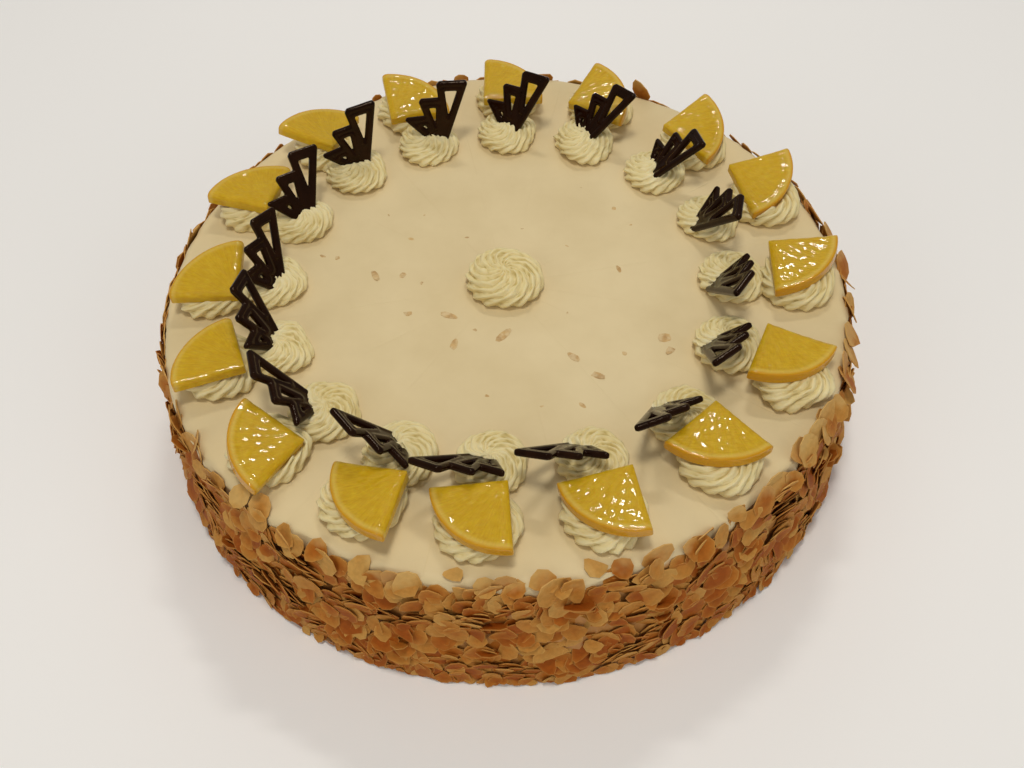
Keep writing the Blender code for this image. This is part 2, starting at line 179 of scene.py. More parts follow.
# Almond bits pressed into the cream top: place to the right and back, and size, in millimetres
TOP_BITS = (
    (-22, -16, 6.0),
    (-38, -14, 4.2),
    (-20, -31, 5.0),
    (-1, -27, 6.8),
    (-12, -24, 2.4),
    (25, -39, 5.0),
    (33, -48, 5.8),
    (61, -31, 5.6),
    (62, -37, 5.0),
    (46, 6, 3.6),
    (47, 41, 2.4),
    (-38, 27, 2.4),
    (26, 20, 1.6),
    (-33, 2, 1.8),
    (-8, -56, 2.0),
    (12, -62, 1.6),
    (-33, 41, 1.4),
    (-15, 27, 1.6),
    (8, 31, 1.2),
    (34, 55, 1.3),
    (53, 31, 1.6),
    (24, -17, 1.5),
    (44, -38, 2.4),
    (27, -62, 2.8),
    (-48, 42, 1.4),
    (-68, 18, 2.6),
    (-74, 19, 2.4),
    (-52, 7, 5.6),
    (-41, 6, 3.4),
)

# The length in millimetres that the kinds of bit are drawn at
BIT_LENGTH = 10.5

# Chocolate fans: half the width of a piped stroke
HALF_STROKE = 1.45 * MM

# Lemon slices: how wide the rind and the pith are, where the loops lie along a cut side and the rows
# up it, as shares of its length and height, and how many steps it is spun in
RIND = 1.2 * MM
PITH = 1.5 * MM
SLICE_LOOPS = (0.0, 0.06, 0.18, 0.34, 0.50, 0.66, 0.80, 0.90, 0.97, 1.01)
SLICE_ROWS = (0.0, 0.22, 0.72, 1.0)
SLICE_STEPS = 12


def only(thing):
    """Leaves this one selected and active."""
    bpy.ops.object.select_all(action="DESELECT")
    thing.select_set(True)
    bpy.context.view_layer.objects.active = thing


def start_editing(thing):
    only(thing)
    bpy.ops.object.mode_set(mode="EDIT")


def stop_editing():
    bpy.ops.object.mode_set(mode="OBJECT")


def named(name):
    """Names the primitive just added, and its mesh."""
    thing = bpy.context.object
    thing.name = name
    thing.data.name = name
    return thing


def select_where(thing, kind, test):
    """Selects the verts or faces of the mesh being edited that pass a test, and nothing else."""
    mesh = bmesh.from_edit_mesh(thing.data)
    for group in (mesh.verts, mesh.edges, mesh.faces):
        for item in group:
            item.select = False
    for item in getattr(mesh, kind):
        place = item.co if kind == "verts" else item.calc_center_median()
        if test(place):
            item.select = True
    mesh.select_flush(True)
    bmesh.update_edit_mesh(thing.data)


def finish_with(thing, kind, **settings):
    """Adds a modifier, sets it and applies it."""
    only(thing)
    modifier = thing.modifiers.new(kind.title(), kind)
    for setting, value in settings.items():
        setattr(modifier, setting, value)
    bpy.ops.object.modifier_apply(modifier=modifier.name)


def smooth(thing, degrees=None):
    only(thing)
    if degrees is None:
        bpy.ops.object.shade_smooth()
    else:
        bpy.ops.object.shade_smooth_by_angle(angle=math.radians(degrees))


def copy_of(thing, name):
    """A copy with its own mesh."""
    copy = thing.copy()
    copy.data = thing.data.copy()
    copy.name = name
    copy.data.name = name
    bpy.context.scene.collection.objects.link(copy)
    return copy


def placed(thing, matrix):
    """Puts a finished piece's place into its mesh, so that its object stays at the origin."""
    thing.data.transform(matrix)


def part_of_cake(thing, material, slot, *nodes):
    """Gives a piece its material, hangs it under the root and hides the solids that it takes the place of.
    The slot is not used.
    """
    thing.data.materials.clear()
    thing.data.materials.append(material)
    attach(thing, "root")
    if nodes:
        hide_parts(*nodes)
    return thing


def directions(angle):
    """Outwards and clockwise, at an angle that runs clockwise from the back."""
    outwards = Vector((math.sin(angle), math.cos(angle), 0))
    clockwise = Vector((math.cos(angle), -math.sin(angle), 0))
    return outwards, clockwise


def portion_angle(number):
    return FIRST_PORTION + (number - 1) * math.tau / PORTIONS


def frame_matrix(x_axis, y_axis, z_axis, origin):
    matrix = Matrix.Identity(4)
    for column, axis in enumerate((x_axis, y_axis, z_axis, origin)):
        for row in range(3):
            matrix[row][column] = axis[row]
    return matrix


# Materials


def material_named(name):
    material = bpy.data.materials.new(name)
    material.use_nodes = True
    tree = material.node_tree
    shader = tree.nodes["Principled BSDF"]
    return material, tree, shader


def ramp(tree, source, stops):
    """A colour ramp: stops are pairs of a place and a colour or a grey."""
    made = tree.nodes.new("ShaderNodeValToRGB")
    tree.links.new(source, made.inputs["Fac"])
    elements = made.color_ramp.elements
    while len(elements) < len(stops):
        elements.new(0.5)
    for element, (place, colour) in zip(elements, stops):
        element.position = place
        element.color = (*colour, 1) if isinstance(colour, tuple) else (colour, colour, colour, 1)
    return made.outputs["Color"]


def blend_colours(tree, factor, first, second, mode="MIX"):
    """Mixes two colours, each a socket or a colour."""
    made = tree.nodes.new("ShaderNodeMix")
    made.data_type = "RGBA"
    made.blend_type = mode
    for socket, value in ((0, factor), (6, first), (7, second)):
        if isinstance(value, bpy.types.NodeSocket):
            tree.links.new(value, made.inputs[socket])
        elif isinstance(value, tuple):
            made.inputs[socket].default_value = (*value, 1)
        else:
            made.inputs[socket].default_value = value
    return made.outputs[2]


def maths(tree, operation, first, second=0.0, clamp=False):
    made = tree.nodes.new("ShaderNodeMath")
    made.operation = operation
    made.use_clamp = clamp
    for socket, value in ((0, first), (1, second)):
        if isinstance(value, bpy.types.NodeSocket):
            tree.links.new(value, made.inputs[socket])
        else:
            made.inputs[socket].default_value = value
    return made.outputs[0]


def noise(tree, vector, scale, detail=3.0, roughness=0.55):
    made = tree.nodes.new("ShaderNodeTexNoise")
    tree.links.new(vector, made.inputs["Vector"])
    made.inputs["Scale"].default_value = scale
    made.inputs["Detail"].default_value = detail
    made.inputs["Roughness"].default_value = roughness
    return made.outputs["Fac"]


def object_place(tree):
    return tree.nodes.new("ShaderNodeTexCoord").outputs["Object"]


def attribute(tree, name, output="Fac"):
    made = tree.nodes.new("ShaderNodeAttribute")
    made.attribute_name = name
    return made.outputs[output]


def bump(tree, shader, height, strength, distance):
    made = tree.nodes.new("ShaderNodeBump")
    made.inputs["Strength"].default_value = strength
    made.inputs["Distance"].default_value = distance
    tree.links.new(height, made.inputs["Height"])
    tree.links.new(made.outputs["Normal"], shader.inputs["Normal"])


def whipped_cream_group():
    """Cream's own unevenness: a soft tint, fine bubbles and the height they give."""
    group = bpy.data.node_groups.new("Whipped cream", "ShaderNodeTree")
    group.interface.new_socket("Vector", in_out="INPUT", socket_type="NodeSocketVector")
    light = group.interface.new_socket("Light", in_out="INPUT", socket_type="NodeSocketColor")
    light.default_value = (0.8, 0.7, 0.45, 1)
    deep = group.interface.new_socket("Deep", in_out="INPUT", socket_type="NodeSocketColor")
    deep.default_value = (0.7, 0.6, 0.35, 1)
    group.interface.new_socket("Color", in_out="OUTPUT", socket_type="NodeSocketColor")
    group.interface.new_socket("Height", in_out="OUTPUT", socket_type="NodeSocketFloat")
    entry = group.nodes.new("NodeGroupInput")
    leaving = group.nodes.new("NodeGroupOutput")
    clouds = noise(group, entry.outputs["Vector"], 28, 4)
    bubbles = noise(group, entry.outputs["Vector"], 420, 3)
    waves = noise(group, entry.outputs["Vector"], 75, 4)
    tint = group.nodes.new("ShaderNodeMix")
    tint.data_type = "RGBA"
    group.links.new(ramp(group, clouds, ((0.38, 0.0), (0.66, 1.0))), tint.inputs[0])
    group.links.new(entry.outputs["Light"], tint.inputs[6])
    group.links.new(entry.outputs["Deep"], tint.inputs[7])
    fine = maths(group, "MULTIPLY", bubbles, 0.35)
    height = maths(group, "ADD", fine, waves)
    group.links.new(tint.outputs[2], leaving.inputs["Color"])
    group.links.new(height, leaving.inputs["Height"])
    return group


WHIPPED_CREAM = whipped_cream_group()


def whipped_cream(tree, light, deep):
    made = tree.nodes.new("ShaderNodeGroup")
    made.node_tree = WHIPPED_CREAM
    tree.links.new(object_place(tree), made.inputs["Vector"])
    made.inputs["Light"].default_value = (*light, 1)
    made.inputs["Deep"].default_value = (*deep, 1)
    return made


def cream_coat():
    """The smoothed coat: portion marks on the top, and nut brown where the side shows between flakes."""
    material, tree, shader = material_named("cream_coat")
    cream = whipped_cream(tree, (0.76, 0.62, 0.36), (0.70, 0.56, 0.31))
    place = object_place(tree)
    split = tree.nodes.new("ShaderNodeSeparateXYZ")
    tree.links.new(place, split.inputs[0])
    turn = maths(tree, "ARCTAN2", split.outputs["X"], split.outputs["Y"])
    share = maths(tree, "DIVIDE", maths(tree, "SUBTRACT", turn, FIRST_PORTION), math.tau / PORTIONS)
    to_mark = maths(tree, "ABSOLUTE", maths(tree, "SUBTRACT", maths(tree, "FRACT", share), 0.5))
    across = tree.nodes.new("ShaderNodeVectorMath")
    across.operation = "LENGTH"
    flat = tree.nodes.new("ShaderNodeCombineXYZ")
    tree.links.new(split.outputs["X"], flat.inputs["X"])
    tree.links.new(split.outputs["Y"], flat.inputs["Y"])
    tree.links.new(flat.outputs[0], across.inputs[0])
    radius = across.outputs["Value"]
    span = maths(tree, "MULTIPLY", maths(tree, "MULTIPLY", to_mark, radius), math.tau / PORTIONS)
    mark = maths(tree, "SUBTRACT", 1.0, maths(tree, "DIVIDE", span, 0.55 * MM), clamp=True)
    faded = maths(tree, "MULTIPLY", mark, ramp(tree, noise(tree, place, 40, 2), ((0.45, 0.0), (0.62, 1.0))))
    on_top = maths(tree, "GREATER_THAN", split.outputs["Z"], TOP - 0.5 * MM)
    faded = maths(tree, "MULTIPLY", faded, on_top)
    faint = maths(tree, "MULTIPLY", faded, 0.04)
    marked = blend_colours(tree, faint, cream.outputs["Color"], (0.50, 0.34, 0.15))
    uneven = maths(tree, "MULTIPLY", noise(tree, place, 95, 2), 8 * MM)
    below = maths(tree, "SUBTRACT", maths(tree, "SUBTRACT", TOP - 1 * MM, uneven), split.outputs["Z"])
    side = maths(tree, "DIVIDE", below, 2.5 * MM, clamp=True)
    browned = blend_colours(tree, side, marked, (0.50, 0.23, 0.06))
    tree.links.new(browned, shader.inputs["Base Color"])
    shader.inputs["Roughness"].default_value = 0.52
    shader.inputs["Specular IOR Level"].default_value = 0.32
    height = maths(tree, "SUBTRACT", cream.outputs["Height"], maths(tree, "MULTIPLY", faded, 0.5))
    bump(tree, shader, height, 0.30, 0.5 * MM)
    return material


def piped_cream():
    """Cream with painted shade down in its grooves and painted light on its crests."""
    material, tree, shader = material_named("piped_cream")
    cream = whipped_cream(tree, (0.80, 0.675, 0.345), (0.74, 0.605, 0.28))
    # How deep a point lies in a groove, or how far it stands out on a crest, sets painted shade or painted
    # light
    painted_shade = maths(tree, "MULTIPLY", attribute(tree, "painted_shade"), 1.0, clamp=True)
    painted_crest_light = maths(tree, "MULTIPLY", attribute(tree, "painted_shade"), -0.5, clamp=True)
    # The groove colour is painted shade and the crest colour is painted light
    colour = blend_colours(tree, painted_shade, cream.outputs["Color"], (0.54, 0.41, 0.14))
    colour = blend_colours(tree, painted_crest_light, colour, (0.86, 0.76, 0.47))
    tree.links.new(colour, shader.inputs["Base Color"])
    shader.inputs["Roughness"].default_value = 0.50
    shader.inputs["Specular IOR Level"].default_value = 0.35
    shader.inputs["Subsurface Weight"].default_value = 0.12
    shader.inputs["Subsurface Radius"].default_value = (0.004, 0.003, 0.0015)
    shader.inputs["Subsurface Scale"].default_value = 1.0
    bump(tree, shader, cream.outputs["Height"], 0.28, 0.4 * MM)
    return material


def toasted_almond():
    """Each flake has its own toast, from blanched to browned, most at its middle, and some have
    cream smeared over them near the rim."""
    material, tree, shader = material_named("toasted_almond")
    place = object_place(tree)
    patches = noise(tree, place, 120, 3)
    fibres = noise(tree, place, 620, 2)
    toast = attribute(tree, "toast")
    middle = maths(tree, "MULTIPLY", maths(tree, "SUBTRACT", 0.55, attribute(tree, "rim")), toast)
    patchy = maths(tree, "MULTIPLY", maths(tree, "SUBTRACT", patches, 0.5), 0.7)
    amount = maths(tree, "ADD", maths(tree, "ADD", toast, patchy), maths(tree, "MULTIPLY", middle, 0.55))
    colour = ramp(
        tree,
        amount,
        (
            (0.00, (0.60, 0.335, 0.090)),
            (0.35, (0.52, 0.225, 0.042)),
            (0.65, (0.43, 0.138, 0.018)),
            (1.00, (0.34, 0.082, 0.008)),
        ),
    )
    flecks = ramp(tree, fibres, ((0.35, 0.86), (0.65, 1.0)))
    colour = blend_colours(tree, 1.0, colour, flecks, "MULTIPLY")
    pale = maths(tree, "MULTIPLY", maths(tree, "SUBTRACT", attribute(tree, "rim"), 0.93), 6.0, clamp=True)
    colour = blend_colours(tree, maths(tree, "MULTIPLY", pale, 0.8), colour, (0.70, 0.41, 0.12))
    split = tree.nodes.new("ShaderNodeSeparateXYZ")
    tree.links.new(place, split.inputs[0])
    smeared = maths(tree, "MULTIPLY", maths(tree, "SUBTRACT", noise(tree, place, 75, 3), 0.58), 30 * MM)
    above = maths(tree, "SUBTRACT", maths(tree, "ADD", split.outputs["Z"], smeared), TOP - 4 * MM)
    cream = maths(tree, "DIVIDE", above, 5 * MM, clamp=True)
    cream = maths(tree, "MULTIPLY", cream, 0.35)
    tree.links.new(blend_colours(tree, cream, colour, (0.78, 0.56, 0.22)), shader.inputs["Base Color"])
    shader.inputs["Roughness"].default_value = 0.6
    shader.inputs["Specular IOR Level"].default_value = 0.08
    bump(tree, shader, fibres, 0.25, 0.2 * MM)
    return material


def almond_in_cream():
    """Bits that the cream has half covered: pinkish tan, smeared with cream in places."""
    material, tree, shader = material_named("almond_in_cream")
    place = object_place(tree)
    bits = ramp(tree, noise(tree, place, 300, 2), ((0.35, (0.46, 0.27, 0.10)), (0.65, (0.64, 0.42, 0.17))))
    covered = ramp(tree, noise(tree, place, 420, 2), ((0.42, 0.0), (0.62, 0.6)))
    tree.links.new(blend_colours(tree, covered, bits, (0.74, 0.60, 0.35)), shader.inputs["Base Color"])
    shader.inputs["Roughness"].default_value = 0.5
    shader.inputs["Specular IOR Level"].default_value = 0.30
    bump(tree, shader, covered, 0.4, 0.2 * MM)
    return material


def lemon_slice():
    """Flesh with fibres from the corner outwards, a pale pith and an orange-yellow rind, under jelly."""
    material, tree, shader = material_named("lemon_slice")
    local = attribute(tree, "slice", "Vector")
    split = tree.nodes.new("ShaderNodeSeparateXYZ")
    tree.links.new(local, split.inputs[0])
    angle = maths(tree, "ARCTAN2", split.outputs["X"], split.outputs["Y"])
    squares = [maths(tree, "POWER", split.outputs[axis], 2.0) for axis in ("X", "Y")]
    reach = maths(tree, "SQRT", maths(tree, "ADD", *squares))
    polar = tree.nodes.new("ShaderNodeCombineXYZ")
    tree.links.new(maths(tree, "MULTIPLY", angle, 1.4), polar.inputs["X"])
    tree.links.new(maths(tree, "MULTIPLY", reach, 9.0), polar.inputs["Y"])
    tree.links.new(attribute(tree, "which"), polar.inputs["Z"])
    fibres = noise(tree, polar.outputs[0], 26, 3)
    clouds = noise(tree, object_place(tree), 90, 2)
    mottled = noise(tree, object_place(tree), 520, 3)
    flesh = ramp(tree, fibres, ((0.30, (0.55, 0.320, 0.005)), (0.70, (0.65, 0.420, 0.010))))
    pale = ramp(tree, clouds, ((0.4, 0.0), (0.7, 0.35)))
    flesh = blend_colours(tree, pale, flesh, (0.68, 0.46, 0.032))
    deep = ramp(tree, mottled, ((0.40, 0.22), (0.62, 0.0)))
    flesh = blend_colours(tree, deep, flesh, (0.50, 0.26, 0.003))
    wobble = maths(tree, "MULTIPLY", maths(tree, "SUBTRACT", clouds, 0.5), 0.8 * MM)
    edge = maths(tree, "ADD", reach, wobble)
    pith_from = LEMON_RADIUS - RIND - PITH
    pith = maths(tree, "DIVIDE", maths(tree, "SUBTRACT", edge, pith_from), 1.3 * MM, clamp=True)
    rind = maths(tree, "DIVIDE", maths(tree, "SUBTRACT", edge, LEMON_RADIUS - RIND), 1.0 * MM, clamp=True)
    colour = blend_colours(tree, maths(tree, "MULTIPLY", pith, 0.48), flesh, (0.70, 0.52, 0.12))
    colour = blend_colours(tree, rind, colour, (0.58, 0.285, 0.004))
    tree.links.new(colour, shader.inputs["Base Color"])
    shader.inputs["Roughness"].default_value = 0.42
    shader.inputs["Specular IOR Level"].default_value = 0.15
    shader.inputs["Subsurface Weight"].default_value = 0.25
    shader.inputs["Subsurface Radius"].default_value = (0.005, 0.003, 0.0006)
    shader.inputs["Subsurface Scale"].default_value = 1.0
    shader.inputs["Coat Weight"].default_value = 0.55
    shader.inputs["Coat Roughness"].default_value = 0.05
    drawn = tree.nodes.new("ShaderNodeMapping")
    drawn.inputs["Rotation"].default_value = (0, 0, math.radians(-40))
    drawn.inputs["Scale"].default_value = (0.38, 1.0, 1.0)
    tree.links.new(object_place(tree), drawn.inputs["Vector"])
    jelly = noise(tree, drawn.outputs[0], 600, 1)
    height = maths(tree, "ADD", maths(tree, "MULTIPLY", fibres, 0.2), jelly)
    bump(tree, shader, height, 0.5, 0.8 * MM)
    return material


def dark_chocolate():
    material, tree, shader = material_named("dark_chocolate")
    place = object_place(tree)
    clouds = noise(tree, place, 160, 3)
    colour = ramp(tree, clouds, ((0.35, (0.009, 0.0022, 0.0005)), (0.70, (0.017, 0.0050, 0.0014))))
    tree.links.new(colour, shader.inputs["Base Color"])
    tree.links.new(ramp(tree, clouds, ((0.3, 0.09), (0.7, 0.16))), shader.inputs["Roughness"])
    shader.inputs["Specular IOR Level"].default_value = 0.20
    shader.inputs["Specular Tint"].default_value = (1.0, 0.80, 0.62, 1)
    bump(tree, shader, noise(tree, place, 300, 2), 0.12, 0.3 * MM)
    return material


# The cream coat


def cake_coat(material):
    """A cylinder, its foot drawn out and its rim rounded, then made as uneven as spread cream."""
    bpy.ops.mesh.primitive_cylinder_add(
        vertices=COAT_CORNERS, radius=TOP_RADIUS, depth=TOP, location=(0, 0, TOP / 2), end_fill_type="NGON"
    )
    coat = named("cream_coat")
    bpy.ops.object.transform_apply(location=True)
    start_editing(coat)
    select_where(coat, "verts", lambda place: place.z < MM)
    grown = FOOT_RADIUS / TOP_RADIUS
    bpy.ops.transform.resize(value=(grown, grown, 1))
    bpy.ops.mesh.select_mode(type="FACE")
    select_where(coat, "faces", lambda place: place.z > TOP - 0.1 * MM)
    bpy.ops.mesh.bevel(offset=RIM_ROUND, segments=4, affect="EDGES")
    select_where(coat, "faces", lambda place: place.z > TOP - 0.01 * MM)
    for _ in range(COAT_RINGS):
        bpy.ops.mesh.inset(thickness=RING_STEP)
    bpy.ops.mesh.poke()
    # Editing starts afresh here, so that the points are in order for the draws below
    stop_editing()
    start_editing(coat)
    bpy.ops.mesh.select_mode(type="EDGE")
    mesh = bmesh.from_edit_mesh(coat.data)
    for edge in mesh.edges:
        edge.select = abs(edge.verts[0].co.z - edge.verts[1].co.z) > 20 * MM
    bmesh.update_edit_mesh(coat.data)
    bpy.ops.mesh.subdivide(number_cuts=SIDE_CUTS)
    bpy.ops.mesh.select_mode(type="VERT")
    select_where(coat, "faces", lambda place: place.z < 0.01 * MM)
    bpy.ops.mesh.poke()
    stop_editing()
    draw = random.Random(4)
    waves = []
    for _ in range(6):
        waves.append((draw.uniform(0, math.tau), draw.randint(2, 9), draw.uniform(0.1, 0.35) * MM))
    for vertex in coat.data.vertices:
        place = vertex.co
        if place.z < MM:
            continue
        turn = math.atan2(place.x, place.y)
        across = math.hypot(place.x, place.y)
        ripple = sum(size * math.sin(count * turn + phase) for phase, count, size in waves)
        if place.z > TOP - 0.5 * MM:
            place.z += ripple * 0.35 * math.sin(across / (9 * MM)) * min(1, across / (20 * MM))
        else:
            grow = 1 + (ripple + draw.uniform(-0.5, 0.5) * MM) / across
            place.x *= grow
            place.y *= grow
    smooth(coat, 50)
    return part_of_cake(coat, material, "cream", "cake")


# Piped rosettes


def draw_ring(star, level, before, turned):
    """Sets the ring being edited to its level: its crests stand out, its grooves go in and down."""
    reach, rise, inwards, downwards, _ = SWIRL_LEVELS[level]
    spacing = math.tau / (4 * RIDGES)
    mesh = bmesh.from_edit_mesh(star.data)
    for point in mesh.verts:
        if point.select:
            step = round((math.atan2(point.co.y, point.co.x) - before) / spacing)
            depth = (0.0, SHOULDER, 1.0, SHOULDER)[step % 4]
            distance = reach * (1 - inwards * depth)
            angle = step * spacing + turned
            height = rise - downwards * depth
            point.co = (distance * math.cos(angle), distance * math.sin(angle), height)
    bmesh.update_edit_mesh(star.data)


def star_swirl(name):
    """A star of cream one unit across and high: ring after ring drawn up, in and round, as it was piped."""
    bpy.ops.mesh.primitive_circle_add(vertices=4 * RIDGES, radius=SWIRL_LEVELS[0][0], fill_type="NOTHING")
    star = named(name)
    start_editing(star)
    bpy.ops.mesh.select_all(action="SELECT")
    draw_ring(star, 0, 0, 0)
    turned = 0
    for level in range(1, len(SWIRL_LEVELS)):
        before = turned
        turned += math.radians(SWIRL_LEVELS[level][-1])
        bpy.ops.mesh.extrude_edges_move(TRANSFORM_OT_translate={"value": (0, 0, 0.1)})
        draw_ring(star, level, before, turned)
    bpy.ops.mesh.extrude_edges_move(TRANSFORM_OT_translate={"value": (0, 0, 0.03)})
    bpy.ops.mesh.merge(type="CENTER")
    select_where(star, "verts", lambda place: place.z < 0.001)
    bpy.ops.mesh.edge_face_add()
    bpy.ops.mesh.inset(thickness=0.25)
    bpy.ops.mesh.poke()
    bpy.ops.mesh.select_all(action="SELECT")
    bpy.ops.mesh.normals_make_consistent(inside=False)
    stop_editing()
    finish_with(star, "SUBSURF", levels=1, render_levels=1)
    return star


def roughen(thing, draw, amount):
    """Moves each ridge a little, so that no two swirls are alike."""
    phases = [(draw.uniform(0, math.tau), draw.randint(1, 4), draw.uniform(0.4, 1.0)) for _ in range(4)]
    for vertex in thing.data.vertices:
        place = vertex.co
        if place.z < 0.02:
            continue
        turn = math.atan2(place.y, place.x)
        wave = sum(size * math.sin(count * turn + phase + 3 * place.z) for phase, count, size in phases)
        place.x *= 1 + amount * wave
        place.y *= 1 + amount * wave
        place.z *= 1 + 0.5 * amount * wave


def ruffle(thing):
    """Gives cream the broken surface that it has where the nozzle tore it."""
    for vertex in thing.data.vertices:
        place = vertex.co
        if place.z < TOP + 0.4 * MM:
            continue
        push = noise_vector(place / (1.4 * MM)) + 1.3 * noise_vector(place / (3.2 * MM))
        vertex.co = place + push * RUFFLE


def mark_painted_shade(thing):
    """Notes how deep in a groove each point lies, for the painted shade in the grooves and the painted
    light on the crests.
    """
    mesh = thing.data
    count = len(mesh.vertices)
    places = np.empty(count * 3)
    mesh.vertices.foreach_get("co", places)
    places = places.reshape(-1, 3)
    normals = np.empty(count * 3)
    mesh.vertices.foreach_get("normal", normals)
    ends = np.empty(len(mesh.edges) * 2, dtype=int)
    mesh.edges.foreach_get("vertices", ends)
    ends = ends.reshape(-1, 2)
    middle = places
    for _ in range(3):
        total, number = np.zeros((count, 3)), np.zeros(count)
        for one, other in ((0, 1), (1, 0)):
            np.add.at(total, ends[:, one], middle[ends[:, other]])
            np.add.at(number, ends[:, one], 1)
        middle = (middle + total / number[:, None]) / 2
    depth = ((middle - places) * normals.reshape(-1, 3)).sum(1) / (0.25 * MM)
    # Depth sets painted shade in the grooves; below nought it sets painted light on the crests
    mesh.attributes.new("painted_shade", "FLOAT", "POINT").data.foreach_set("value", np.clip(depth, -1, 1))


def swirl(name, star, centre, radius, height, start, draw):
    """One rosette: a star of its own, at its place and size."""
    rosette = copy_of(star, name)
    roughen(rosette, draw, UNEVEN)
    matrix = Matrix.Translation(centre) @ Matrix.Rotation(start, 4, "Z")
    placed(rosette, matrix @ Matrix.Diagonal((radius, radius, height, 1)))
    ruffle(rosette)
    mark_painted_shade(rosette)
    return rosette


def press_under(rosette, corner, middle, normal, radius):
    """Flattens what a slice lies on, and leaves what wells up beside it."""
    right = middle.cross(normal)
    for vertex in rosette.data.vertices:
        offset = vertex.co - corner
        across, along = offset.dot(right), offset.dot(middle)
        inside = along > abs(across) - 0.8 * MM and math.hypot(across, along) < radius + 0.4 * MM
        top = corner.z - (normal.x * offset.x + normal.y * offset.y) / normal.z + 0.3 * MM
        if inside and vertex.co.z > top:
            vertex.co.z = top


def heap_against(rosette, number):
    """Lifts and tears the cream along the foot of a chocolate fan, where it was pushed in, and paints it
    paler there with painted light.
    """
    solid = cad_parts[f"chocolate_{number:02d}"]
    painted_shade = rosette.data.attributes["painted_shade"].data
    normal = max(solid.data.polygons, key=lambda face: face.area).normal
    points = [vertex.co for vertex in solid.data.vertices]
    middle = sum(points, Vector()) / len(points)
    foot = min(points, key=lambda point: point.z)
    for index, vertex in enumerate(rosette.data.vertices):
        away = abs((vertex.co - middle).dot(normal))
        beside = vertex.co - foot
        beside -= normal * beside.dot(normal)
        reach = math.hypot(beside.x, beside.y)
        near = max(0, 1 - away / (4.0 * MM)) * max(0, 1 - reach / (10 * MM))
        if vertex.co.z > TOP + 3 * MM and near:
            lump = 0.7 + 0.9 * noise_value(vertex.co / (1.9 * MM))
            torn = noise_vector(vertex.co / (1.2 * MM)) * 0.8 * MM * math.sqrt(near)
            vertex.co += torn + Vector((0, 0, 1.6 * MM * math.sqrt(near) * lump))
            # Less painted shade here, so the lifted cream is painted paler, as painted light
            painted_shade[index].value -= 1.4 * math.sqrt(near)


def all_rosettes(material, slices):
    draw = random.Random(7)
    star = star_swirl("star")
    centre = swirl("piped_centre", star, Vector((0, 0, TOP)), CENTRE_RADIUS, CENTRE_HEIGHT, 0.1, draw)
    smooth(centre)
    part_of_cake(centre, material, "cream", "centre_rosette")
    for number in range(1, PORTIONS + 1):
        outwards, clockwise = directions(portion_angle(number))
        inner_out, inner_side, inner_radius, outer_out, outer_side = ROSETTES[number - 1]
        floor = Vector((0, 0, TOP))
        kinds = (
            ("inner", inner_radius * INNER_SHARE * MM, INNER_HEIGHT, inner_out, inner_side),
            ("outer", OUTER_RADIUS, OUTER_HEIGHT, outer_out, outer_side),
        )
        for kind, radius, height, out, side in kinds:
            place = floor + (outwards * out + clockwise * side) * MM
            size = radius * draw.uniform(0.98, 1.03)
            rise = height * draw.uniform(0.94, 1.05)
            start = draw.uniform(0, math.tau)
            rosette = swirl(f"piped_{kind}_{number:02d}", star, place, size, rise, start, draw)
            corner, middle, _, normal, lemon_radius = slices[number]
            press_under(rosette, corner, middle, normal, lemon_radius)
            if kind == "inner":
                heap_against(rosette, number)
            smooth(rosette)
            part_of_cake(rosette, material, "cream", f"cream_rosettes_{number:02d}")
    bpy.data.objects.remove(star)


# Lemon quarters


def slice_frame(number):
    """Where a lemon quarter lies: its corner on the underside, its right, its middle and its up."""
    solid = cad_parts[f"lemon_{number:02d}"]
    points = []
    for vertex in solid.data.vertices:
        if all((vertex.co - point).length > 0.01 * MM for point in points):
            points.append(vertex.co.copy())
    normal = max(solid.data.polygons, key=lambda face: face.area).normal.copy()
    if normal.z < 0:
        normal = -normal
    low = min(point.dot(normal) for point in points)
    under = [point for point in points if point.dot(normal) - low < MM]

    def unlike(point):
        """How unlike the ways to the other points are, which is least from the corner."""
        return np.std([(other - point).length for other in under if other != point])

    corner = min(under, key=unlike)
    arc = [point for point in under if point != corner]
    middle = (sum(arc, Vector()) / len(arc) - corner).normalized()
    thickness = max(point.dot(normal) for point in points) - low
    radius = sum((point - corner).length for point in arc) / len(arc)
    return corner, middle, thickness, normal, radius


def quarter_of_lemon(radius, thickness):
    """A cut side laid out as a coarse grid, spun a quarter turn about its corner and subdivided, so
    that its edges come out as soft as wet flesh."""
    rows, columns = len(SLICE_ROWS) - 1, len(SLICE_LOOPS) - 1
    bpy.ops.mesh.primitive_grid_add(x_subdivisions=columns, y_subdivisions=rows, size=2)
    quarter = named("quarter")
    for vertex in quarter.data.vertices:
        reach = radius * SLICE_LOOPS[round((vertex.co.x + 1) / 2 * columns)]
        height = thickness * SLICE_ROWS[round((vertex.co.y + 1) / 2 * rows)]
        vertex.co = Matrix.Rotation(math.radians(135), 3, "Z") @ Vector((reach, 0, height))
    start_editing(quarter)
    bpy.ops.mesh.select_all(action="SELECT")
    bpy.ops.mesh.spin(steps=SLICE_STEPS, angle=math.radians(90), center=(0, 0, 0), axis=(0, 0, 1))
    bpy.ops.mesh.select_all(action="SELECT")
    bpy.ops.mesh.remove_doubles(threshold=0.01 * MM)
    bpy.ops.mesh.normals_make_consistent(inside=False)
    stop_editing()
    finish_with(quarter, "SUBSURF", levels=2, render_levels=2)
    return quarter


